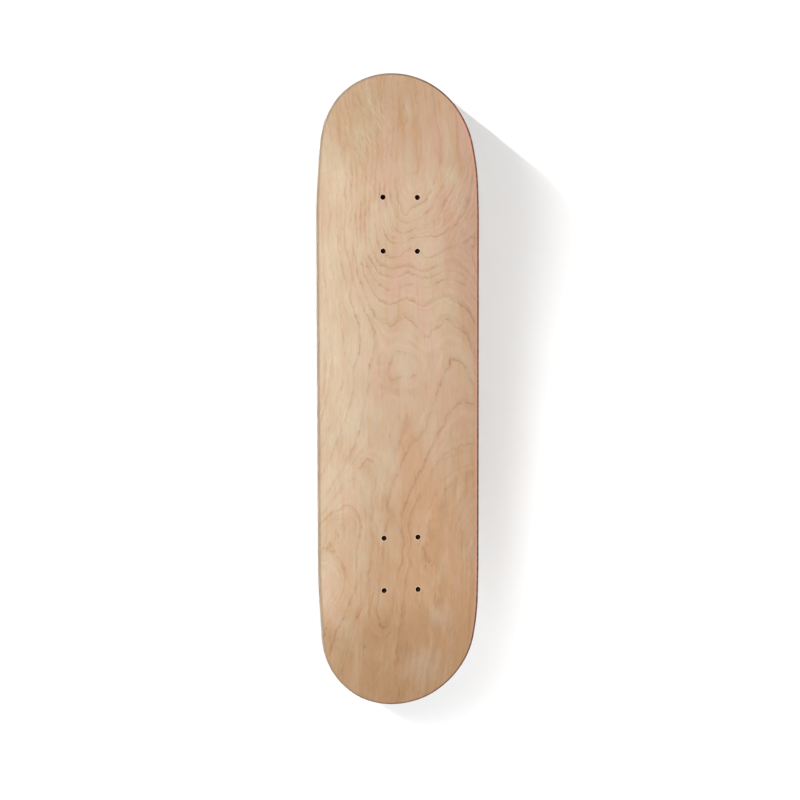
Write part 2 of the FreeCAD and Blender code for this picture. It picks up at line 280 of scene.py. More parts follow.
# Every veneer is also laid out flat on a square of 1024 units, nothing over anything else:
# the edge cut into rows, the bores in strips, a face that shows in two halves, the nose's
# and the tail's, and the glued faces small.
SQUARE = 1024.0
LAYOUTS = {  # edge: rows, first row, height, pitch; bore: first strip, height, pitch, width, strips side by side
    "face": ((4, 928, 12, 16), (998, 10, 14, 117, 8)),
    "core": ((24, 4, 20, 26), (634, 20, 26, 240, 4)),
}


def edge_places(layout, low, high):
    """Corners of one ring of edge quads, between the shares low and high of the edge's height."""
    rows, base, tall, pitch = LAYOUTS[layout][0]
    count = len(RIM)
    run = -(-count // rows)
    gone = np.append(RIM_GONE, RIM_LENGTH)
    starts = gone[np.arange(0, count, run)]
    ends = gone[np.minimum(np.arange(0, count, run) + run, count)]
    scale = 1008 / (ends - starts).max()
    i = np.arange(count)
    left = 8 + (gone[i] - starts[i // run]) * scale
    right = 8 + (gone[i + 1] - starts[i // run]) * scale
    lower = base + pitch * (i // run) + tall * low
    upper = base + pitch * (i // run) + tall * high
    return np.stack(
        [np.stack(c, -1) for c in ((left, lower), (right, lower), (right, upper), (left, upper))], 1
    )


def bore_places(layout, hole, low, high):
    """Corners of one ring of a bore's quads, the upper ring's points first."""
    base, tall, pitch, wide, abreast = LAYOUTS[layout][1]
    i = np.arange(SEGMENTS)
    start = 8 + (1008 / abreast) * (hole % abreast)
    right, left = (start + wide * (SEGMENTS - i - k) / SEGMENTS for k in (0, 1))
    lower = np.full(SEGMENTS, base + pitch * (hole // abreast) + tall * low)
    upper = np.full(SEGMENTS, base + pitch * (hole // abreast) + tall * high)
    return np.stack(
        [np.stack(c, -1) for c in ((right, upper), (left, upper), (left, lower), (right, lower))], 1
    )


def sheet_places(layout, shows, upward, corners):
    """Corners of a veneer's face, from plan corners (triangles, 3, 2)."""
    x, y = corners[..., 0], corners[..., 1] * (1 if upward else -1)
    if shows:
        scale = 2.3
        nose = (x.mean(1) >= 0)[:, None]
        across = np.where(nose, 8 + (x + 4) * scale, 8 + (x + REACH + 1) * scale)
        up = np.where(nose, 6, 467) + (y + WIDTH / 2) * scale
    elif layout == "face":
        across = 922 + (WIDTH / 2 - y) / WIDTH * 96
        up = 6 + (x + REACH) / (2 * REACH) * 914
    else:
        across = 12 + (x + REACH) / (2 * REACH) * 1000
        up = (863 if upward else 700) + (y + WIDTH / 2) / WIDTH * 155
    return np.stack([across, up], -1)


class Piece:
    """Collects one veneer's vertices, faces, corner normals and point attributes."""

    NAMES = (
        "figure",  # growth-ring count, one line at each whole number
        "slope",  # rings to the millimetre
        "strength",  # how plainly the rings show
        "pink",
        "tan",
        # shade: the wood's own dark fleck and grey patch, and painted shade and light along the deck
        "shade",
        "rim",  # millimetres in from where the edge's rounding starts
        "depth",  # millimetres up from the underside
        "endgrain",
        "along",  # metres round the rim
        "hole",  # millimetres from the nearest bolt hole's centre
    )

    def __init__(self):
        self.co, self.normal, self.extra = [], [], []
        self.faces, self.slots, self.corner, self.places = [], [], [], []
        self.count = 0

    def add(self, co, **extra):
        """Adds points and returns their indices."""
        n = len(co)
        self.co.append(co)
        self.extra.append(
            np.stack(
                [np.broadcast_to(np.asarray(extra.get(k, 0.0), float), n) for k in self.NAMES],
                -1,
            )
        )
        self.count += n
        return np.arange(self.count - n, self.count)

    def face(self, corners, normals, slot, places):
        """corners: (m, 3 or 4) indices; normals and layout places: one for each corner."""
        self.faces.append(corners)
        self.places.append(places.reshape(-1, 2))
        self.corner.append(normals.reshape(-1, 3))
        self.slots.append(np.full(len(corners), slot))

    def strip(self, a, b, na, nb, slot, places):
        """Quads between two closed rings of points a and b, with a normal for each point."""
        a1, b1 = np.roll(a, -1), np.roll(b, -1)
        corners = np.stack([a, a1, b1, b], -1)
        normals = np.stack([na, np.roll(na, -1, 0), np.roll(nb, -1, 0), nb], 1)
        self.face(corners, normals, slot, places)

    def build(self, name, materials):
        mesh = bpy.data.meshes.new(name)
        co = np.concatenate(self.co) * MM
        polygons = [f for group in self.faces for f in group.tolist()]
        mesh.from_pydata(co.tolist(), [], polygons)
        for m in materials:
            mesh.materials.append(m)
        mesh.polygons.foreach_set("material_index", np.concatenate(self.slots))
        mesh.polygons.foreach_set("use_smooth", np.ones(len(polygons), bool))
        extra = np.concatenate(self.extra)
        for i, key in enumerate(self.NAMES):
            layer = mesh.attributes.new(key, "FLOAT", "POINT")
            layer.data.foreach_set("value", extra[:, i].astype(np.float32))
        flat = mesh.uv_layers.new(name="OFBake", do_init=False)
        places = np.concatenate(self.places) / SQUARE
        flat.uv.foreach_set("vector", places.astype(np.float32).ravel())
        mesh.update()
        normals = np.concatenate(self.corner)
        normals /= np.linalg.norm(normals, axis=1)[:, None]
        mesh.normals_split_custom_set(normals.tolist())
        if mesh.validate(verbose=False):
            raise RuntimeError(name + " had faults in its mesh")
        obj = bpy.data.objects.new(name, mesh)
        scene.collection.objects.link(obj)
        return obj


def edge_point(inward, d):
    """Rim stations moved in, on the surface at depth d."""
    return plumb(RIM[:, 0] - RIM[:, 2] * inward, RIM[:, 1] - RIM[:, 3] * inward, d)[0]


def edge_normal(d):
    """Outward normals of the edge at depth d."""
    low, high = max(d - 0.02, 0.0), min(d + 0.02, STACK)
    up = edge_point(inset(high), high) - edge_point(inset(low), low)
    here = edge_point(inset(d), d)
    ahead = np.roll(here, -1, 0) - np.roll(here, 1, 0)
    normal = np.cross(ahead, up)
    return normal / np.linalg.norm(normal, axis=1)[:, None]


PLIES = [  # from the underside up, with the grain's direction
    ("bottom_face_veneer", "face"),
    ("lower_core_veneer", "long"),
    ("lower_crossband", "cross"),
    ("centre_core_veneer", "long"),
    ("upper_crossband", "cross"),
    ("upper_core_veneer", "long"),
    ("top_face_veneer", "face"),
]
FINE_PLAN = sheet_plan(
    [ROUND, ROUND + 1.2, ROUND + 3.0], [BORE + BREAK + 1.3, BORE + BREAK], 2.0
)


def side_of_veneer(piece, d, upward, fine, figure, layout):
    """One face of a veneer. Returns its rim ring and the innermost ring of each hole."""
    n = len(RIM)
    if fine:
        plan, triangles = FINE_PLAN
        rings, hole_rings = 3, 2
    else:
        inward = float(inset(np.array(d)))
        plan, triangles = sheet_plan([inward], [BORE], 8.0)
        rings, hole_rings = 1, 1
    co, normal = plumb(plan[:, 0], plan[:, 1], d)
    extra = {"depth": d, "hole": np.minimum(to_hole(plan[:, 0], plan[:, 1]), 30)}
    extra["rim"] = np.minimum(to_rim(plan[:, 0], plan[:, 1]), 40) - ROUND
    if figure is not None:
        extra.update(figure(plan[:, 0], plan[:, 1]))
    extra["along"] = np.concatenate([np.tile(RIM_ALONG, rings), np.zeros(len(plan) - n * rings)]) * MM
    indices = piece.add(co, **extra)
    if not upward:
        triangles, normal = triangles[:, ::-1], -normal
    places = sheet_places(layout, fine, upward, plan[triangles])
    piece.face(indices[triangles], normal[triangles], 0 if fine else 3, places)
    start = n * rings
    holes = []
    for i in range(len(HOLES)):
        last = start + (i * hole_rings + hole_rings - 1) * SEGMENTS
        holes.append(indices[last : last + SEGMENTS])
    return indices[:n], holes


def shares(out, up):
    """How far along a profile each of its points is, from 0 to 1."""
    gone = np.append(0.0, np.cumsum(np.hypot(np.diff(out), np.diff(up))))
    return gone / gone[-1]


def veneer(number, name, kind, figure, materials):
    piece = Piece()
    low, high = number * PLY, (number + 1) * PLY
    first, last = number == 0, number == len(PLIES) - 1
    layout = "face" if kind == "face" else "core"
    rim_low, holes_low = side_of_veneer(piece, low, False, first, figure, layout)
    rim_high, holes_high = side_of_veneer(piece, high, True, last, figure, layout)
    across = abs(RIM[:, 2]) if kind != "cross" else abs(RIM[:, 3])
    # the edge, row by row
    rows = edge_rows(low, high)
    share = shares(inset(np.array(rows)), np.array(rows))
    below = rim_low
    for r, d in enumerate(rows[1:], start=1):
        if r == len(rows) - 1:
            above = rim_high
        else:
            inward = float(inset(np.array(d)))
            co = edge_point(inward, d)
            found = {}
            if figure is not None:
                found = figure(co[:, 0], co[:, 1])
            above = piece.add(
                co,
                rim=-(ROUND - inward) - abs(min(d, STACK - d)),
                depth=d,
                endgrain=across,
                along=RIM_ALONG * MM,
                hole=30,
                **found,
            )
        places = edge_places(layout, share[r - 1], share[r])
        piece.strip(below, above, edge_normal(rows[r - 1]), edge_normal(d), 1, places)
        below = above
    # the bolt holes: a small rounding at the two outer faces, and the bore between
    for i, (hx, hy) in enumerate(HOLES):
        profile = []  # (depth, radius, normal's share out of the wood, and along +Z)
        turned = [math.radians(a) for a in (0, 22.5, 45, 67.5, 90)]
        if first:
            profile += [
                (
                    low + BREAK * (1 - math.cos(a)),
                    BORE + BREAK * (1 - math.sin(a)),
                    math.sin(a),
                    -math.cos(a),
                )
                for a in turned
            ]
        else:
            profile.append((low, BORE, 1.0, 0.0))
        if last:
            profile += [
                (
                    high - BREAK * (1 - math.cos(a)),
                    BORE + BREAK * (1 - math.sin(a)),
                    math.sin(a),
                    math.cos(a),
                )
                for a in reversed(turned)
            ]
        else:
            profile.append((high, BORE, 1.0, 0.0))
        unit = ring_points(1.0)
        share = shares([p[1] for p in profile], [p[0] for p in profile])
        below, normal_below = holes_low[i], None
        for r, (d, radius, out, up) in enumerate(profile):
            normal = np.concatenate([-unit * out, np.full((SEGMENTS, 1), up)], 1)
            if r == 0:
                normal_below = normal
                continue
            if r == len(profile) - 1:
                above = holes_high[i]
            else:
                ring = unit * radius + (hx, hy)
                co = plumb(ring[:, 0], ring[:, 1], d)[0]
                found = {}
                if figure is not None:
                    found = figure(ring[:, 0], ring[:, 1])
                above = piece.add(co, rim=20, depth=d, hole=radius, **found)
            places = bore_places(layout, i, share[r - 1], share[r])
            piece.strip(above, below, normal, normal_below, 2, places)
            below, normal_below = above, normal
    return piece.build(name + "_wood", materials)


# ---------------------------------------------------------------------------
# The wood's figure. A veneer peeled from a turning log cuts each growth ring again and
# again, so the rings run over it as the contour lines of a landscape. The landscape is a
# thin-plate surface through the listed ring lines: (ring number, how plain the lines
# are there, points in millimetres).

UNDERSIDE_RINGS = [
    (-1, 0.8, [(374, 11), (347, 9), (316, 8), (292, 5), (273, 3), (263, 7), (260, 13), (267, 21), (282, 25), (304, 27), (329, 26), (354, 25), (374, 25)]),
    (0, 1, [(376, 5), (347, 4), (310, 0), (279, -4), (255, -6), (238, -4), (225, 0), (215, 5), (220, 12), (226, 21), (232, 31), (244, 38), (262, 45), (282, 51), (305, 52), (329, 50), (354, 49), (369, 47)]),
    (1, 0.7, [(376, -3), (347, -3), (310, -6), (273, -10), (243, -12), (223, -9), (211, -3), (205, 5), (207, 14), (213, 27), (224, 38), (238, 46), (256, 56), (278, 66), (305, 73), (330, 74), (347, 72)]),
    (2, 0.6, [(373, -11), (347, -11), (310, -13), (273, -16), (243, -19), (222, -17), (207, -12), (196, -4), (193, 7), (198, 21), (204, 36), (217, 48), (234, 57), (253, 67), (275, 77), (299, 84), (320, 86)]),
    (3, 0.6, [(373, -20), (347, -18), (310, -19), (273, -22), (237, -25), (214, -24), (197, -21), (186, -14), (180, -5), (182, 4), (187, 15), (189, 30), (190, 44), (196, 57), (206, 69), (223, 80), (247, 87), (275, 92)]),
    (4, 0.6, [(370, -29), (346, -25), (316, -25), (279, -27), (243, -31), (214, -33), (193, -30), (177, -26), (167, -17), (163, -9), (166, 0), (172, 8), (173, 16), (168, 25), (163, 33), (167, 44), (174, 57), (178, 71), (182, 83), (190, 94)]),
    (5, 0.7, [(367, -37), (346, -35), (318, -32), (281, -32), (243, -36), (214, -37), (190, -38), (172, -34), (159, -27), (153, -18), (150, -10), (153, 0), (155, 8), (150, 18), (148, 30), (152, 41), (156, 52), (159, 62), (154, 73), (146, 83), (135, 93)]),
    (6, 0.7, [(364, -46), (345, -43), (318, -39), (281, -39), (243, -42), (214, -42), (190, -42), (170, -39), (156, -33), (146, -25), (141, -16), (140, -8), (143, 1), (146, 8), (142, 18), (140, 30), (143, 42), (148, 54), (149, 64), (143, 76), (134, 86), (123, 94)]),
    (7, 0.8, [(358, -53), (342, -51), (318, -47), (281, -46), (243, -47), (214, -47), (190, -47), (168, -44), (151, -38), (137, -31), (129, -22), (125, -13), (127, -3), (131, 7), (130, 18), (128, 29), (131, 39), (137, 51), (139, 60), (135, 72), (127, 83), (113, 93)]),
    (8, 1, [(352, -61), (337, -58), (315, -55), (281, -53), (243, -52), (214, -53), (187, -52), (163, -48), (144, -44), (128, -37), (116, -28), (110, -19), (109, -9), (112, -1), (116, 7), (111, 16), (105, 28), (112, 39), (117, 49), (119, 58), (112, 68), (105, 78), (95, 87), (83, 94)]),
    (9, 1, [(346, -68), (332, -66), (313, -62), (281, -59), (243, -59), (214, -59), (184, -58), (161, -54), (140, -50), (121, -44), (104, -37), (92, -28), (86, -19), (84, -9), (89, -1), (93, 7), (87, 15), (77, 25), (71, 32), (77, 41), (85, 50), (90, 59), (80, 69), (73, 80), (59, 87), (43, 93)]),
    (10, 1, [(337, -76), (315, -71), (285, -66), (257, -64), (226, -64), (199, -67), (173, -65), (149, -59), (128, -53), (109, -46), (92, -38), (76, -32), (59, -31), (45, -34), (29, -38), (9, -39), (-10, -42), (-27, -46), (-43, -50), (-60, -56), (-77, -64), (-93, -73), (-111, -85), (-127, -95)]),
    (11, 0.6, [(325, -83), (297, -79), (267, -76), (231, -74), (196, -75), (166, -72), (137, -66), (111, -59), (88, -52), (64, -50), (45, -52), (30, -56), (9, -57), (-10, -61), (-25, -66), (-43, -72), (-63, -80), (-84, -89), (-96, -96)]),
    (12, 0.4, [(303, -88), (267, -86), (226, -84), (185, -84), (149, -81), (116, -75), (84, -70), (55, -67), (25, -69), (-5, -75), (-31, -83), (-59, -93)]),
    (13, 0.3, [(267, -93), (220, -92), (173, -91), (126, -88), (78, -84), (31, -83), (-5, -89), (-35, -97)]),
    (10, 1, [(2, 93), (19, 86), (33, 80), (41, 72), (43, 63), (37, 58), (24, 53), (9, 47), (-6, 42), (-23, 36), (-37, 31), (-50, 23), (-56, 15), (-67, 9), (-80, 1), (-97, -6), (-114, -12), (-133, -16), (-162, -18), (-193, -22), (-227, -26), (-250, -28), (-268, -28), (-280, -20), (-273, -13), (-257, -10), (-235, -8), (-214, -3), (-194, 2), (-176, 4), (-162, 0), (-149, 0), (-133, 5), (-114, 12), (-97, 21), (-83, 28), (-69, 34), (-54, 40), (-41, 48), (-27, 57), (-15, 65), (-9, 77), (-11, 93)]),
    (10.5, 0.5, [(5, 81), (15, 68), (3, 59), (-16, 49), (-33, 39), (-51, 32), (-68, 22), (-88, 12), (-108, 1), (-132, -6), (-168, -11), (-198, -12), (-228, -16), (-254, -20)]),
    (10, 0.5, [(48, -9), (52, 2), (47, 14), (40, 21), (28, 19), (19, 11), (21, -1), (20, -12), (29, -16), (39, -12), (48, -9)]),
    (10.4, 0.5, [(42, 2), (34, 4), (30, -2)]),
    (9.45, 0.4, [(72, -21), (42, -20), (7, -24), (-29, -25), (-65, -23), (-101, -19), (-137, -24), (-173, -28), (-210, -32), (-246, -37)]),
    (9.5, 0.4, [(51, 30), (24, 33), (-6, 26), (-30, 11), (-49, -6), (-77, -13)]),
    (9, 0.8, [(-353, -70), (-326, -68), (-303, -63), (-284, -58), (-265, -52), (-247, -45), (-228, -39), (-203, -37), (-179, -35), (-149, -36), (-125, -35), (-107, -30), (-93, -33), (-78, -39), (-82, -46), (-92, -55), (-102, -66), (-114, -75), (-128, -86), (-144, -97)]),
    (8, 0.9, [(-309, -83), (-285, -77), (-267, -69), (-250, -62), (-233, -56), (-213, -53), (-191, -53), (-173, -51), (-154, -48), (-138, -52), (-129, -61), (-133, -72), (-140, -83), (-150, -94)]),
    (7, 0.8, [(-288, -91), (-271, -86), (-257, -80), (-243, -74), (-228, -68), (-215, -67), (-200, -71), (-188, -79), (-181, -90)]),
    (9, 0.7, [(-378, 2), (-357, 0), (-337, -2), (-312, -1), (-288, 0), (-265, 1), (-242, 2), (-217, 6), (-189, 8), (-165, 9), (-144, 12), (-126, 20), (-111, 28), (-95, 37), (-81, 45), (-70, 55), (-65, 71), (-60, 93)]),
    (8, 0.25, [(-369, 36), (-334, 40), (-301, 45), (-261, 49), (-225, 50), (-182, 48), (-145, 48), (-121, 53), (-106, 63), (-97, 77), (-93, 93)]),
    (7, 0.2, [(-340, 68), (-302, 72), (-263, 73), (-226, 74), (-189, 74), (-165, 78), (-148, 92)]),
    (9.5, 0.5, [(-365, -30), (-324, -28), (-298, -24)]),
]
RIDING_SIDE_RINGS = [
    (0, 0.5, [(-390, -70), (-300, -66), (-200, -72), (-90, -60), (20, -66), (140, -58), (260, -68), (390, -60)]),
    (1, 0.6, [(-390, -48), (-300, -42), (-200, -50), (-90, -34), (20, -44), (140, -30), (260, -46), (390, -34)]),
    (2, 0.8, [(-390, -30), (-310, -24), (-230, -30), (-120, -8), (-40, -22), (60, -24), (150, -8), (250, -26), (390, -14)]),
    (3, 0.9, [(-390, -12), (-320, -6), (-250, -14), (-200, 2), (-150, 10), (-96, 4), (-60, -6), (20, -8), (100, 6), (160, 12), (220, -2), (300, -8), (390, 6)]),
    (4, 1.0, [(-210, 24), (-180, 14), (-150, 20), (-120, 14), (-90, 22), (-110, 34), (-150, 36), (-190, 34), (-210, 24)]),
    (4, 0.9, [(80, 26), (120, 16), (165, 22), (205, 14), (236, 24), (210, 38), (160, 36), (110, 40), (80, 26)]),
    (5, 0.7, [(120, 28), (160, 27), (196, 27)]),
    (4, 0.7, [(390, 26), (330, 16), (290, 24), (300, 44), (390, 52)]),
    (4, 0.7, [(-390, 10), (-330, 12), (-280, 20), (-290, 34), (-390, 30)]),
    (3, 0.8, [(-390, 46), (-300, 50), (-240, 46), (-180, 54), (-100, 50), (-30, 18), (30, 16), (60, 52), (140, 58), (220, 52), (280, 60), (390, 68)]),
    (2, 0.6, [(-390, 66), (-300, 70), (-200, 68), (-100, 74), (-20, 62), (60, 72), (160, 78), (260, 74), (390, 86)]),
    (1, 0.5, [(-390, 88), (-240, 92), (-100, 94), (40, 90), (200, 96), (390, 104)]),
]


class Figure:
    """Ring count, rings to the millimetre and line strength at any plan point."""

    SCALE = 0.01

    def __init__(self, rings):
        points = np.concatenate([np.array(line, float) for _, _, line in rings])
        values = np.concatenate([[[a, b]] * len(line) for a, b, line in rings])
        _, first = np.unique(points, axis=0, return_index=True)
        self.points, values = points[first] * self.SCALE, values[first]
        n = len(self.points)
        far = ((self.points[:, None] - self.points[None]) ** 2).sum(-1)
        flat = np.concatenate([np.ones((n, 1)), self.points], 1)
        table = np.zeros((n + 3, n + 3))
        table[:n, :n], table[:n, n:], table[n:, :n] = self.kernel(far), flat, flat.T
        stiff = table.copy()
        stiff[range(n), range(n)] += 2e-4
        self.rings = np.linalg.solve(stiff, np.append(values[:, 0], [0, 0, 0]))
        self.plain = values[:, 1]

    @staticmethod
    def kernel(far):
        return 0.5 * far * np.log(np.maximum(far, 1e-9))

    def __call__(self, x, y):
        n = len(self.points)
        out = np.empty((len(x), 3))
        q = np.stack([x, y], -1) * self.SCALE
        for i in range(0, len(q), 3000):
            s = q[i : i + 3000]
            away = s[:, None] - self.points[None]
            far = (away**2).sum(-1)
            log = np.log(np.maximum(far, 1e-9))
            w = self.rings
            out[i : i + 3000, 0] = (0.5 * far * log) @ w[:n] + w[n] + s @ w[n + 1 :]
            gx = (away[..., 0] * (log + 1)) @ w[:n] + w[n + 1]
            gy = (away[..., 1] * (log + 1)) @ w[:n] + w[n + 2]
            out[i : i + 3000, 1] = np.hypot(gx, gy) * self.SCALE
            near = 1 / (far + 0.02) ** 1.5
            out[i : i + 3000, 2] = (near @ self.plain) / near.sum(1)
        return out


def mound(x, y, cx, cy, rx, ry, lean=0.0):
    """A soft-edged patch: 1 at its centre, falling to nothing."""
    c, s = math.cos(lean), math.sin(lean)
    u, v = (x - cx) * c + (y - cy) * s, (y - cy) * c - (x - cx) * s
    return np.exp(-((u / rx) ** 2) - (v / ry) ** 2)


def smooth(low, high, v):
    t = np.clip((v - low) / (high - low), 0, 1)
    return t * t * (3 - 2 * t)


underside_figure = Figure(UNDERSIDE_RINGS)
riding_figure = Figure(RIDING_SIDE_RINGS)


def underside(x, y):
    found = underside_figure(x, y)
    plain = found[:, 2] * (1 - 0.4 * smooth(-45, -75, y) * smooth(-220, -60, x))
    plain = plain * (1 - 0.6 * smooth(225, 290, x))
    # pinker and darker towards +Y and on the +Y rounding: partly the wood's tone, partly painted shade on the side
    # turned from the light
    pink = 0.15 + 0.5 * smooth(-60, 80, y) + 0.8 * smooth(88, 97, y)
    for patch, amount in [
        ((155, 92, 60, 26), 0.55),
        ((90, 5, 150, 30), 0.25),
        ((20, -90, 260, 40), -0.4),
        ((315, 49, 50, 5), 0.9),
        ((300, 78, 60, 12), 0.35),
        ((320, 64, 40, 7), -0.3),
        ((-160, 40, 120, 40), 0.2),
    ]:
        pink = pink + amount * mound(x, y, *patch)
    tan = 0.15 + 0.62 * smooth(120, -330, x) * smooth(-165, 50, y) + 0.35 * smooth(-190, -350, x)
    for patch, amount in [
        ((390, 0, 60, 90), 0.35),
        ((325, 6, 34, 3.5), 0.55),
        ((312, 22, 40, 4), 0.4),
        ((310, 72, 34, 3.5), 0.4),
        ((250, -60, 130, 14), 0.15),
        ((-354, -1, 27, 2.5), 0.6),
        ((-40, 12, 40, 16), 0.2),
        ((-130, 45, 60, 24), 0.15),
    ]:
        tan = tan + amount * mound(x, y, *patch)
    grey = 0.9 * mound(x, y, -340, 30, 32, 26) + 0.6 * mound(x, y, -272, 46, 16, 18)
    tan, pink = tan - 0.85 * grey, pink - 0.3 * grey
    tan = tan + 0.3 * mound(x, y, -190, 5, 110, 50)
    # shade: a small dark fleck and the grey patch, which are the wood's own
    shade = 0.10 * mound(x, y, -306, -42, 2.5, 2.2) + 0.06 * grey
    # painted shade and light: darker towards the tail, over the middle and at both kick tips, lighter at the nose's
    # -Y side, as the light falls off along the deck and the kicks turn from it
    shade = shade + 0.08 * smooth(-200, -370, x)
    for patch, amount in [
        ((-185, -25, 120, 60), 0.055),
        ((-20, 0, 70, 45), 0.045),
        ((260, -45, 70, 45), -0.035),
        ((360, 0, 30, 60), 0.045),
        ((-378, 0, 22, 60), 0.04),
    ]:
        shade = shade + amount * mound(x, y, *patch)
    return {
        "figure": found[:, 0],
        "slope": found[:, 1],
        "strength": plain,
        "pink": pink,
        "tan": tan,
        "shade": shade,
    }


def riding_side(x, y):
    found = riding_figure(x, y)
    pink = 0.25 + 0.35 * smooth(90, -60, y) + 0.3 * mound(x, y, -180, 30, 130, 40)
    tan = 0.2 + 0.3 * smooth(-100, -380, x) + 0.35 * mound(x, y, 250, -60, 160, 40)
    return {
        "figure": found[:, 0],
        "slope": found[:, 1],
        "strength": found[:, 2],
        "pink": pink,
        "tan": tan,
        "shade": 0.0,
    }


# ---------------------------------------------------------------------------
# Materials


class Nodes:
    """Adds nodes to one new material."""

    def __init__(self, name):
        self.material = bpy.data.materials.new(name)
        self.material.use_nodes = True
        self.tree = self.material.node_tree
        self.tree.nodes.clear()

    def node(self, kind, **settings):
        made = self.tree.nodes.new("ShaderNode" + kind)
        for key, value in settings.items():
            setattr(made, key, value)
        return made

    def put(self, socket, value):
        if isinstance(value, bpy.types.NodeSocket):
            self.tree.links.new(value, socket)
        else:
            socket.default_value = value

    def attribute(self, name):
        made = self.node("Attribute", attribute_type="GEOMETRY", attribute_name=name)
        return made.outputs["Fac"]

    def math(self, operation, *values, clamp=False):
        made = self.node("Math", operation=operation, use_clamp=clamp)
        for i, v in enumerate(values):
            self.put(made.inputs[i], v)
        return made.outputs[0]

    def add(self, a, b):
        return self.math("ADD", a, b)

    def sub(self, a, b):
        return self.math("SUBTRACT", a, b)

    def mul(self, a, b, clamp=False):
        return self.math("MULTIPLY", a, b, clamp=clamp)

    def remap(self, value, a, b, c=0.0, d=1.0, smooth=True):
        made = self.node(
            "MapRange", interpolation_type="SMOOTHSTEP" if smooth else "LINEAR"
        )
        made.clamp = True
        for i, v in enumerate((value, a, b, c, d)):
            self.put(made.inputs[i], v)
        return made.outputs[0]

    def decay(self, value, length):
        """1 at 0, falling off over length."""
        return self.math("EXPONENT", self.mul(value, -1.0 / length))

    def stretched(self, vector, scale):
        made = self.node("VectorMath", operation="MULTIPLY")
        self.put(made.inputs[0], vector)
        made.inputs[1].default_value = scale
        return made.outputs[0]

    def turned(self, vector, angle, scale):
        made = self.node("Mapping", vector_type="POINT")
        self.put(made.inputs["Vector"], vector)
        made.inputs["Rotation"].default_value = (0, 0, angle)
        made.inputs["Scale"].default_value = (1, 1, 1)
        return self.stretched(made.outputs[0], scale)

    def noise(self, vector, detail=2.0, roughness=0.5, distortion=0.0):
        """Soft noise about 0, between -0.5 and 0.5."""
        made = self.node("TexNoise", noise_dimensions="3D")
        self.put(made.inputs["Vector"], vector)
        made.inputs["Scale"].default_value = 1.0
        made.inputs["Detail"].default_value = detail
        made.inputs["Roughness"].default_value = roughness
        made.inputs["Distortion"].default_value = distortion
        return self.sub(made.outputs["Fac"], 0.5)

    def noise_1d(self, value, detail=1.0, roughness=0.5):
        made = self.node("TexNoise", noise_dimensions="1D")
        self.put(made.inputs["W"], value)
        made.inputs["Scale"].default_value = 1.0
        made.inputs["Detail"].default_value = detail
        made.inputs["Roughness"].default_value = roughness
        return self.sub(made.outputs["Fac"], 0.5)

    def mix(self, factor, a, b, blend="MIX"):
        made = self.node("Mix", data_type="RGBA", blend_type=blend, clamp_factor=True)
        self.put(made.inputs[0], factor)
        self.put(made.inputs[6], a)
        self.put(made.inputs[7], b)
        return made.outputs[2]

    def brighten(self, colour, share):
        """colour times (1 + share)."""
        made = self.node("VectorMath", operation="SCALE")
        self.put(made.inputs[0], colour)
        self.put(made.inputs["Scale"], self.add(share, 1.0))
        return made.outputs[0]

    def combine(self, x, y, z):
        made = self.node("CombineXYZ")
        for i, v in enumerate((x, y, z)):
            self.put(made.inputs[i], v)
        return made.outputs[0]

    def finish(self, colour, roughness, height, distance, strength, specular=0.4):
        shader = self.node("BsdfPrincipled")
        self.put(shader.inputs["Base Color"], colour)
        self.put(shader.inputs["Roughness"], roughness)
        shader.inputs["Specular IOR Level"].default_value = specular
        bump = self.node("Bump")
        bump.inputs["Strength"].default_value = strength
        bump.inputs["Distance"].default_value = distance
        self.put(bump.inputs["Height"], height)
        self.tree.links.new(bump.outputs[0], shader.inputs["Normal"])
        out = self.node("OutputMaterial")
        self.tree.links.new(shader.outputs[0], out.inputs[0])
        return self.material


CREAM = (0.660, 0.505, 0.335, 1)
PINK = (0.620, 0.395, 0.280, 1)
TAN = (0.560, 0.325, 0.170, 1)
RING = (0.79, 0.60, 0.43, 1)  # multiplied in along the ring lines
# the rounded edge's colour where the -Y side is lit, and its painted-shade colour on the +Y side
EDGE_LIT_GREY = (0.385, 0.290, 0.200, 1)
EDGE_SHADED_RED = (0.240, 0.062, 0.030, 1)


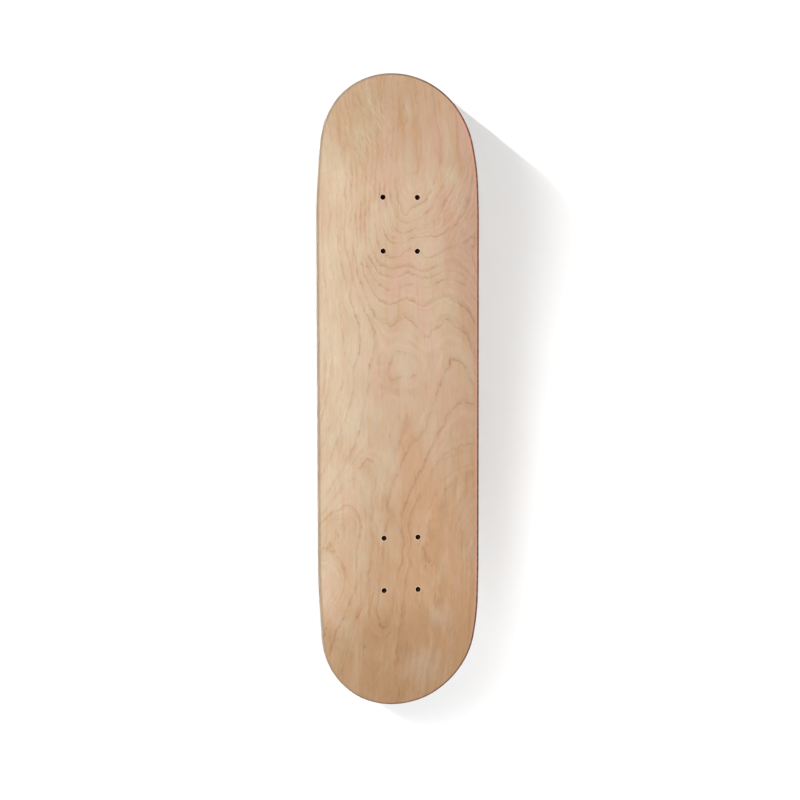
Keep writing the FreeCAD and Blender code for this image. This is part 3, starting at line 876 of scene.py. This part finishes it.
def face_maple(name, seed, curls, flecks, blush):
    """Sanded face veneer. curls: where short slanting ripples show, as x, y, radius x,
    radius y, turn; flecks: small dark marks, as x, y, length, width. Metres. blush: how
    strongly a lighter, rosier band is laid just inside its +Y edge, lifting the rounding there."""
    n = Nodes(name)
    place = n.node("TexCoord").outputs["Object"]
    shifted = n.node("VectorMath", operation="ADD")
    n.put(shifted.inputs[0], place)
    shifted.inputs[1].default_value = (seed, seed * 0.37, 0)
    p = shifted.outputs[0]

    def spot(cx, cy, rx, ry):
        """0 at (cx, cy), 1 on the ellipse about it, and growing."""
        away = n.node("VectorMath", operation="SUBTRACT")
        n.put(away.inputs[0], place)
        away.inputs[1].default_value = (cx, cy, 0)
        apart = n.node("VectorMath", operation="LENGTH")
        n.put(apart.inputs[0], n.stretched(away.outputs[0], (1 / rx, 1 / ry, 0)))
        return apart.outputs["Value"]

    # ring lines: dark wood that comes on softly and stops short, feathered by the fibres
    wander = n.mul(n.noise(n.stretched(p, (20, 55, 0)), 2), 0.35)
    pitch = n.math("MAXIMUM", n.attribute("slope"), 0.035)
    jitter = n.mul(n.noise(n.stretched(p, (50, 620, 0)), 2), n.mul(pitch, 3.4))
    ragged = n.mul(n.noise(n.stretched(p, (100, 250, 0)), 2), n.mul(pitch, 6.5))
    phase = n.add(n.attribute("figure"), n.add(wander, n.add(jitter, ragged)))
    share = n.math("FRACT", phase)
    past = n.math("DIVIDE", share, pitch)
    ahead = n.math("DIVIDE", n.sub(1.0, share), pitch)
    fade = n.remap(n.noise(n.stretched(p, (36, 56, 0)), 2), -0.15, 0.17, 0.3, 1.45)
    plain = n.mul(fade, n.attribute("strength"))
    line = n.mul(n.add(n.decay(past, 0.45), n.mul(n.decay(ahead, 0.9), 0.7)), plain)
    soft = n.mul(n.decay(ahead, 3.2), plain)
    # fine lines that run with the rings
    fine = n.noise_1d(n.mul(phase, 5.5), 3, 0.7)
    fine = n.mul(fine, n.remap(pitch, 0.35, 0.05, 0.35, 1.0))
    fine = n.mul(fine, n.remap(n.noise(n.stretched(p, (34, 90, 0)), 1), -0.16, 0.18, 0.3, 1.5))
    # fibres along the board, flecks of ray and blotches
    fibre = n.noise(n.stretched(p, (9, 300, 0)), 4, 0.62)
    thread = n.noise(n.stretched(p, (30, 1300, 0)), 2, 0.55)
    streak = n.remap(n.noise(n.stretched(p, (13, 150, 0)), 2, 0.5, 0.2), 0.05, 0.2)
    mottle = n.noise(n.stretched(p, (11, 26, 0)), 3, 0.55, 0.4)
    speckle = n.noise(n.stretched(p, (75, 190, 0)), 3, 0.6, 0.6)
    pores = n.remap(n.noise(n.stretched(p, (150, 1900, 0)), 1), 0.15, 0.24)
    # short slanting ripples where the grain curls
    tilted = 0.0
    for cx, cy, rx, ry, turn in curls:
        wave = n.noise(n.turned(p, turn, (85, 480, 0)), 1, 0.5, 0.5)
        wave = n.mul(wave, n.remap(spot(cx, cy, rx, ry), 1.2, 0.3))
        tilted = wave if tilted == 0.0 else n.add(tilted, wave)
    marks = 0.0
    for cx, cy, rx, ry in flecks:
        mark = n.remap(spot(cx, cy, rx, ry), 1.3, 0.2)
        marks = mark if marks == 0.0 else n.add(marks, mark)

    pink = n.add(n.attribute("pink"), n.add(n.mul(mottle, 3.2), n.mul(speckle, 1.7)))
    cloud = n.noise(n.stretched(p, (17, 38, 5)), 3, 0.6, 0.5)
    tan = n.add(n.attribute("tan"), n.add(n.mul(fibre, 0.9), n.mul(streak, 0.28)))
    tan = n.add(tan, n.mul(cloud, 1.7))
    colour = n.mix(n.math("MAXIMUM", pink, 0.0), CREAM, PINK)
    colour = n.mix(n.math("MAXIMUM", tan, 0.0), colour, TAN)
    tone = n.mul(fibre, 0.16)
    for layer, weight in (
        (thread, 0.20),
        (fine, 0.30),
        (mottle, 0.16),
        (speckle, 0.16),
        (pores, -0.07),
        (tilted, 0.40),
        (soft, -0.06),
    ):
        tone = n.add(tone, n.mul(layer, weight))
    if flecks:
        tone = n.add(tone, n.mul(marks, -0.16))
    # the shade attribute darkens the wood's own marks and lays painted shade and light along the deck
    tone = n.sub(tone, n.attribute("shade"))
    colour = n.brighten(colour, tone)
    colour = n.mix(n.mul(line, 1.1, clamp=True), colour, RING, "MULTIPLY")

    # towards the sawn and rounded edge the wood is darker, with painted shade laid over it:
    # greyer on the lit -Y side, darker and redder on the +Y side, darkest on that side between
    # the middle and the tail; a lighter, rosier band runs just inside the +Y edge, and a bolt hole has a pale, clean
    # rim
    flank = n.node("SeparateXYZ")
    n.put(flank.inputs[0], place)
    if blush:
        rosy = n.mul(n.remap(n.attribute("rim"), 3.4, 0.6), n.remap(flank.outputs[1], 0.055, 0.088))
        rosy = n.mul(rosy, n.remap(flank.outputs[0], -0.33, -0.22))
        colour = n.mix(n.mul(rosy, blush), colour, (0.780, 0.390, 0.275, 1))
    # painted shade: grey where the -Y side of the edge is lit, darker red on the +Y side, away from the light
    shaded_edge_colour = n.mix(n.remap(flank.outputs[1], -0.07, 0.09), EDGE_LIT_GREY, EDGE_SHADED_RED)
    # painted shadow, deepest on the +Y edge between the middle and the tail
    edge_shadow_mask = n.mul(n.remap(flank.outputs[0], 0.06, -0.14), n.remap(flank.outputs[0], -0.37, -0.25))
    edge_shadow_mask = n.mul(edge_shadow_mask, n.remap(flank.outputs[1], 0.03, 0.09))
    shaded_edge_colour = n.mix(n.mul(edge_shadow_mask, 0.85), shaded_edge_colour, (0.070, 0.014, 0.008, 1))
    # the rounded rim darkens: partly the wood's darker edge, partly painted shade, stronger on the +Y side
    dark_rim_and_shade = n.mul(
        n.remap(n.attribute("rim"), 0.2, -1.2), n.remap(flank.outputs[1], -0.08, 0.06, 0.55, 1.0)
    )
    uneven = n.noise(n.stretched(n.combine(n.attribute("along"), 0, 0), (160, 0, 0)), 3, 0.6)
    dark_rim_and_shade = n.mul(dark_rim_and_shade, n.add(0.9, n.mul(uneven, 1.6)), clamp=True)
    colour = n.mix(dark_rim_and_shade, colour, shaded_edge_colour)
    ring = n.remap(n.attribute("hole"), BORE + 1.6, BORE + 0.7)
    colour = n.mix(n.mul(ring, 0.55), colour, (0.80, 0.65, 0.49, 1))

    roughness = n.add(0.52, n.mul(thread, 0.25))
    roughness = n.add(roughness, n.mul(speckle, 0.12))
    height = n.add(n.mul(thread, 0.6), n.add(n.mul(line, -0.35), n.mul(pores, -0.5)))
    return n.finish(colour, roughness, height, 0.00012, 0.5)


def edge_maple(name, seed, pale, dark):
    """The sawn edge of one inner veneer: streaks where the fibres run along it, pores where they are cut across."""
    n = Nodes(name)
    along, depth = n.mul(n.attribute("along"), 1000.0), n.attribute("depth")
    flat = n.combine(along, depth, seed)
    streaks = n.noise(n.stretched(flat, (0.06, 5.0, 1)), 3, 0.6)
    ends = n.noise(n.stretched(flat, (1.6, 0.9, 1)), 3, 0.6)
    cut = n.attribute("endgrain")
    blotch = n.noise(n.stretched(flat, (0.035, 0.12, 1)), 2)
    tone = n.add(n.mul(streaks, n.mul(n.sub(1.0, cut), 0.5)), n.mul(ends, n.mul(cut, 0.7)))
    colour = n.mix(n.math("POWER", cut, 1.5), pale, dark)
    colour = n.brighten(colour, n.add(tone, n.mul(blotch, 0.5)))
    # the dark glue line where two veneers meet
    near = n.math("PINGPONG", depth, PLY / 2)
    glue = n.remap(near, 0.13, 0.03)
    colour = n.mix(n.mul(glue, 0.75), colour, (0.075, 0.042, 0.025, 1))
    height = n.add(tone, n.mul(glue, -0.6))
    roughness = n.add(0.55, n.mul(tone, 0.15))
    return n.finish(colour, roughness, height, 0.00015, 0.5)


def inner_maple(name, seed, across):
    """The glued face of a veneer, as the knife left it."""
    n = Nodes(name)
    place = n.node("TexCoord").outputs["Object"]
    shifted = n.node("VectorMath", operation="ADD")
    n.put(shifted.inputs[0], place)
    shifted.inputs[1].default_value = (seed, seed * 0.37, 0)
    p = shifted.outputs[0]

    def scale(a, b):
        return n.stretched(p, (b, a, 0) if across else (a, b, 0))

    fibre = n.noise(scale(9, 260), 4, 0.62)
    cloud = n.noise(scale(6, 22), 3, 0.6, 0.5)
    colour = n.mix(n.add(0.45, n.mul(cloud, 2.0)), (0.600, 0.440, 0.290, 1), (0.500, 0.320, 0.190, 1))
    colour = n.brighten(colour, n.mul(fibre, 0.3))
    return n.finish(colour, 0.7, fibre, 0.0001, 0.5)


def bore_maple(name):
    """The inside of a drilled hole: torn end grain, painted near black as the shade deep in the hole."""
    n = Nodes(name)
    place = n.node("TexCoord").outputs["Object"]
    grain = n.noise(n.stretched(place, (900, 900, 500)), 3, 0.6)
    rings = n.noise(n.stretched(place, (60, 60, 5200)), 2)
    colour = n.brighten((0.060, 0.026, 0.012), n.add(grain, n.mul(rings, 0.5)))
    return n.finish(colour, 0.8, grain, 0.0002, 0.6, 0.0)


underside_wood = face_maple(
    "maple_underside",
    0.0,
    [(0.325, -0.040, 0.062, 0.046, 0.38), (0.215, 0.066, 0.060, 0.034, -0.55)],
    [
        (-0.047, -0.0135, 0.0050, 0.0010),
        (-0.026, -0.0025, 0.0045, 0.0009),
        (-0.057, -0.0010, 0.0050, 0.0010),
        (0.339, -0.0180, 0.0060, 0.0012),
        (0.347, -0.0420, 0.0050, 0.0012),
        (-0.306, -0.0420, 0.0022, 0.0018),
    ],
    0.6,
)
riding_wood = face_maple(
    "maple_riding_side",
    3.7,
    [(-0.12, 0.03, 0.16, 0.045, -0.45), (0.30, -0.02, 0.06, 0.05, 0.4)],
    [(0.151, 0.031, 0.004, 0.001), (-0.214, -0.044, 0.005, 0.001)],
    0.0,
)
bore_wood = bore_maple("maple_bore")
EDGE_TONES = {
    "long": ((0.500, 0.355, 0.235, 1), (0.330, 0.205, 0.125, 1)),
    "cross": ((0.460, 0.315, 0.200, 1), (0.280, 0.165, 0.098, 1)),
}
deck = bpy.data.collections.new("deck")
for number, (name, kind) in enumerate(PLIES):
    inner = inner_maple("maple_inner_%d" % number, number * 5.1, kind == "cross")
    if kind == "face":
        first = number == 0
        wood = underside_wood if first else riding_wood
        figure = underside if first else riding_side
        made = veneer(number, name, kind, figure, [wood, wood, bore_wood, inner])
    else:
        wood = edge_maple("maple_edge_%d" % number, number * 7.3, *EDGE_TONES[kind])
        made = veneer(number, name, kind, None, [wood, wood, bore_wood, inner])
    deck.objects.link(made)
    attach(made, "root")
    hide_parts(name)

# ---------------------------------------------------------------------------
# Stage: a pale floor just under the deck, and a pale sheet close over it, which is behind
# it in the photograph. Each shows only from its front, so that neither hides the deck.


def stage_mesh(name, points, faces, material):
    mesh = bpy.data.meshes.new(name)
    mesh.from_pydata(points, [], faces)
    mesh.materials.append(material)
    obj = bpy.data.objects.new(name, mesh)
    scene.collection.objects.link(obj)
    obj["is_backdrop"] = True
    obj.visible_shadow = False
    obj.visible_diffuse = False
    obj.visible_glossy = False
    obj.visible_transmission = False
    return obj


def paper(name):
    """Matt white, seen only from the front."""
    m = bpy.data.materials.new(name)
    m.use_nodes = True
    tree = m.node_tree
    tree.nodes.clear()
    matt = tree.nodes.new("ShaderNodeBsdfDiffuse")
    matt.inputs["Color"].default_value = (0.9, 0.9, 0.9, 1)
    clear = tree.nodes.new("ShaderNodeBsdfTransparent")
    side = tree.nodes.new("ShaderNodeNewGeometry")
    mix = tree.nodes.new("ShaderNodeMixShader")
    tree.links.new(side.outputs["Backfacing"], mix.inputs[0])
    tree.links.new(matt.outputs[0], mix.inputs[1])
    tree.links.new(clear.outputs[0], mix.inputs[2])
    out = tree.nodes.new("ShaderNodeOutputMaterial")
    tree.links.new(mix.outputs[0], out.inputs[0])
    return m


def paper_sheet(name, z, upward):
    corners = [(-12, -12, z), (12, -12, z), (12, 12, z), (-12, 12, z)]
    return stage_mesh(
        name, corners, [[0, 1, 2, 3] if upward else [3, 2, 1, 0]], paper(name + "_paper")
    )


sheets = bpy.data.collections.new("sheets")
sheets.objects.link(paper_sheet("floor", -0.0004, True))
BEHIND = 0.11
sheets.objects.link(paper_sheet("backdrop", BEHIND, False))

# The deck is lit from below and from above at once, so that both sides can be looked at.
# Dark skins, unseen by any camera and open from the wood's side, keep the light that the
# far side gets from showing on the floor or the sheet: one just under the deck, and a flat
# one over it.
def one_way(name, glow, colour=(1, 1, 1, 1)):
    """Emits a faint glow from the front and is open from the back."""
    m = bpy.data.materials.new(name)
    m.use_nodes = True
    tree = m.node_tree
    tree.nodes.clear()
    front = tree.nodes.new("ShaderNodeEmission")
    front.inputs["Color"].default_value = colour
    front.inputs["Strength"].default_value = glow
    clear = tree.nodes.new("ShaderNodeBsdfTransparent")
    side = tree.nodes.new("ShaderNodeNewGeometry")
    mix = tree.nodes.new("ShaderNodeMixShader")
    tree.links.new(side.outputs["Backfacing"], mix.inputs[0])
    tree.links.new(front.outputs[0], mix.inputs[1])
    tree.links.new(clear.outputs[0], mix.inputs[2])
    tree.links.new(mix.outputs[0], tree.nodes.new("ShaderNodeOutputMaterial").inputs[0])
    return m


def skin(name, points, faces, glow):
    obj = stage_mesh(name, points, faces, one_way(name + "_shade", glow))
    obj.visible_camera = False
    obj.visible_diffuse = True
    return obj


around = (RIM[::4, :2] - 2.0 * RIM[::4, 2:]) * MM
skin("skin_flat", [(a, b, 0.0565) for a, b in around.tolist()], [list(range(len(around)))], 0)
# the skin under the deck glows faintly: painted light, standing in for light bounced into the shade under the deck
plan, triangles = sheet_plan([0.3], [BORE], 12.0)
low = plumb(plan[:, 0], plan[:, 1], -0.35)[0]
skin("skin_under", (low * MM).tolist(), triangles[:, ::-1].tolist(), 0.16)
# and a dark lid just over each bolt hole, open from above, that only a camera sees: painted shade, a faintly glowing
# dark sheet that stands for the shade behind the hole
for i, hole in enumerate(HOLES):
    lid = (ring_points(9.0, 16) + hole) * MM
    stage_mesh(
        "lid_%d" % i,
        [(a, b, 0.0115) for a, b in lid.tolist()],
        [list(range(16))[::-1]],
        one_way("lid_%d_dark" % i, 0.01, (1.0, 0.3, 0.1, 1)),
    )

# a far white wall all round, which gives no light
glow = bpy.data.materials.new("white_wall")
glow.use_nodes = True
glow.node_tree.nodes.clear()
emission = glow.node_tree.nodes.new("ShaderNodeEmission")
emission.inputs["Color"].default_value = (1, 1, 1, 1)
output = glow.node_tree.nodes.new("ShaderNodeOutputMaterial")
glow.node_tree.links.new(emission.outputs[0], output.inputs[0])
turn = [2 * math.pi * i / 32 for i in range(32)]
walls = stage_mesh(
    "wall",
    [(11 * math.cos(a), 11 * math.sin(a), z) for z in (-9.0, 9.0) for a in turn],
    [[i, (i + 1) % 32, 32 + (i + 1) % 32, 32 + i] for i in range(32)]
    + [list(range(32)), list(range(32, 64))],
    glow,
)

world = bpy.data.worlds.new("studio")
scene.world = world
world.use_nodes = True
world.node_tree.nodes["Background"].inputs["Color"].default_value = (1, 1, 1, 1)
world.node_tree.nodes["Background"].inputs["Strength"].default_value = 0.12
scene.view_settings.view_transform = "Standard"
scene.view_settings.look = "None"


def sun(name, towards, strength, angle, only=None, shaded_by=None):
    """Even light from a direction, softened over an angle in degrees. With only, the
    light falls on nothing but the objects in that collection, and with shaded_by only
    the objects in that one cast shadows in it."""
    light = bpy.data.lights.new(name, "SUN")
    light.energy = strength
    light.angle = math.radians(angle)
    obj = bpy.data.objects.new(name, light)
    scene.collection.objects.link(obj)
    obj.rotation_euler = (-Vector(towards)).to_track_quat("-Z", "Y").to_euler()
    obj.visible_camera = False
    if only is not None:
        obj.light_linking.receiver_collection = only
    if shaded_by is not None:
        obj.light_linking.blocker_collection = shaded_by
    return obj


# under the deck, as in the photograph: broad frontal light on the wood, from a little to
# the left, and on the sheet a long low strip from the upper left, whose shadow fades out
sun("front_below", (0.03, -0.24, -1.0), 2.72, 36, deck)
sun("left_below", (0.25, -1.0, -0.9), 0.32, 40, deck)
sun("sheet_front", (0.0648, -0.1671, -0.9838), 2.06, 0.5, sheets, deck)
# The photograph's shadow is wider at the nose than at the tail, as if its sheet lay askew
# to the deck. A level sheet can't give that, so the strip's shadow comes from a card with
# the deck's outline, close over the riding side at the nose and close to the sheet at the
# tail. No camera sees it, and it is open from below like the skins.
EYE = np.array([0.11099191, -0.30164778, -1.77107921])
half = RIM[RIM[:, 1] > 0.5]
half = half[np.argsort(half[:, 0])][::4]
inward = np.interp(half[:, 0], [-387, 100], [8.0, 1.5])
half = half[:, :2] - half[:, 2:] * inward[:, None]
points = []
for side in (-1, 1):
    edge = plumb(half[:, 0], half[:, 1] * side, 3.2)[0] * MM
    edge = edge + (edge - EYE) * ((BEHIND - edge[:, 2:]) / (edge[:, 2:] - EYE[2]))
    gap = np.interp(
        half[:, 0],
        [-387, -317, -263, -145, -13, 123, 268, 387],
        [0.0200, 0.0215, 0.0235, 0.0262, 0.0295, 0.0345, 0.0440, 0.0520],
    )
    edge[:, 2] = BEHIND - gap
    points += edge.tolist()
count = len(half)
faces = [[i, i + 1, count + i + 1, count + i] for i in range(count - 1)]
# its hem reaches up to the sheet, so that the shadow starts at the deck's outline
loop = list(range(count)) + list(range(2 * count - 1, count - 1, -1))
points += [(a, b, BEHIND - 0.0003) for a, b, _ in points]
faces += [[a, b, b + 2 * count, a + 2 * count] for a, b in zip(loop, loop[1:] + loop[:1])]
shadow_card = skin("shadow_card", points, faces, 0)
# and it lets more light through towards the tail
tree = shadow_card.data.materials[0].node_tree
across = tree.nodes.new("ShaderNodeSeparateXYZ")
tree.links.new(tree.nodes.new("ShaderNodeTexCoord").outputs["Object"], across.inputs[0])
thin = tree.nodes.new("ShaderNodeMapRange")
for i, value in enumerate((0.0, -0.28, 0.0, 0.72), start=1):
    thin.inputs[i].default_value = value
tree.links.new(across.outputs[0], thin.inputs[0])
most = tree.nodes.new("ShaderNodeMath")
most.operation = "MAXIMUM"
blend = next(n for n in tree.nodes if n.type == "MIX_SHADER")
tree.links.new(blend.inputs[0].links[0].from_socket, most.inputs[0])
tree.links.new(thin.outputs[0], most.inputs[1])
tree.links.new(most.outputs[0], blend.inputs[0])
shadow_card.visible_shadow, shadow_card.visible_diffuse = True, False
cards = bpy.data.collections.new("cards")
cards.objects.link(shadow_card)
STRIP = [
    (13.4, 0.12),
    (14.7, 0.16),
    (16.2, 0.18),
    (18.05, 0.20),
    (20.4, 0.20),
    (23.4, 0.19),
    (27.4, 0.17),
    (33.5, 0.12),
]
for lift, share in STRIP:
    e = math.radians(lift)
    sun(
        "strip_below_%d" % round(lift),
        (0.60 * math.cos(e), -0.80 * math.cos(e), -math.sin(e)),
        share / math.sin(e),
        2.0,
        sheets,
        cards,
    )
# above the deck: the same light, softer, for the views from the riding side
sun("front_above", (0.25, -0.45, 1.0), 2.45, 30, None, deck)
sun("fill_back", (-0.35, 0.85, 0.75), 1.0, 40, deck)
sun("fill_nose", (1.0, -0.2, 0.30), 0.45, 60, deck)
for lift in (30, 40, 50):
    e = math.radians(lift)
    sun(
        "side_above_%d" % lift,
        (-0.55 * math.cos(e), -0.83 * math.cos(e), math.sin(e)),
        0.5,
        16,
        None,
        deck,
    )

# ---------------------------------------------------------------------------
# Camera, at the photograph's viewing angle: under the deck, looking up at its underside

camera_data = bpy.data.cameras.new("camera")
camera = bpy.data.objects.new("camera", camera_data)
scene.collection.objects.link(camera)
camera_data.sensor_width = 36.0
camera_data.lens = 67.8121
right = Vector((-0.00252392, 0.98585081, -0.16760609))
up = Vector((0.99789694, 0.01333913, 0.0634331))
back = Vector((0.06477129, -0.16709351, -0.98381118))
place = Vector((0.11099191, -0.30164778, -1.77107921))
camera.matrix_world = Matrix(
    (
        (right.x, up.x, back.x, place.x),
        (right.y, up.y, back.y, place.y),
        (right.z, up.z, back.z, place.z),
        (0, 0, 0, 1),
    )
)
camera_data.clip_start, camera_data.clip_end = 0.05, 60
scene.camera = camera

low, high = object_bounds()
